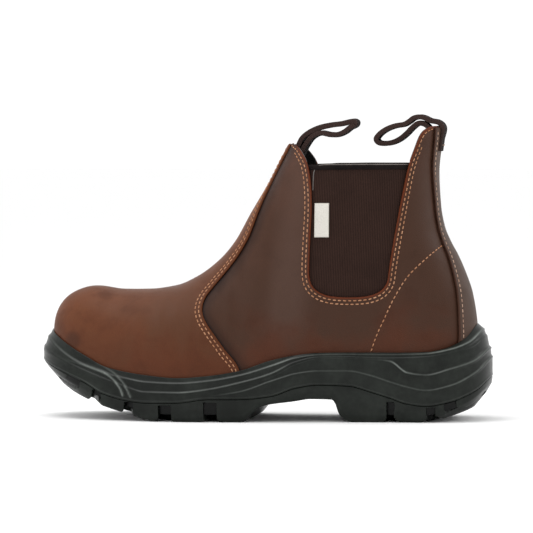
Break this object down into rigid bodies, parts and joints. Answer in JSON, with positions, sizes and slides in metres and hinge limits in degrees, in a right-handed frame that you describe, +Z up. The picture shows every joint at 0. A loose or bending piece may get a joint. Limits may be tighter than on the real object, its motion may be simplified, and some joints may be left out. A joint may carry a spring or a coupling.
{
  "type": "work boot",
  "caption": "Left slip-on work boot: hollow leather upper with elastic side panels, pull loops and a thick lugged rubber sole.",
  "frame": {"origin": "on the floor, at the centre of the boot's length and width", "axes": "+Z up, +X from toe to heel, the toe points along -X, the outer side of the foot is -Y"},
  "size_m": [0.308, 0.1135, 0.2055],
  "materials": {
    "sole_rubber": "moulded black rubber, satin",
    "insole_sock": "dark cloth sock on a thin board",
    "brown_leather": "oiled brown leather, semi-matt, tonal variation",
    "backstay_leather": "oiled greyish brown leather",
    "elastic": "dark brown ribbed elastic",
    "webbing": "dark brown woven webbing",
    "tag_cloth": "plain white woven tag, blank"
  },
  "bodies": {
    "root": {"outsole": "sole_rubber", "midsole": "sole_rubber", "insole": "insole_sock", "upper": "brown_leather", "backstay": "backstay_leather", "gore_outer": "elastic", "gore_inner": "elastic", "front_pull_loop": "webbing", "rear_pull_loop": "webbing", "side_tag": "tag_cloth"}
  },
  "joints": []
}
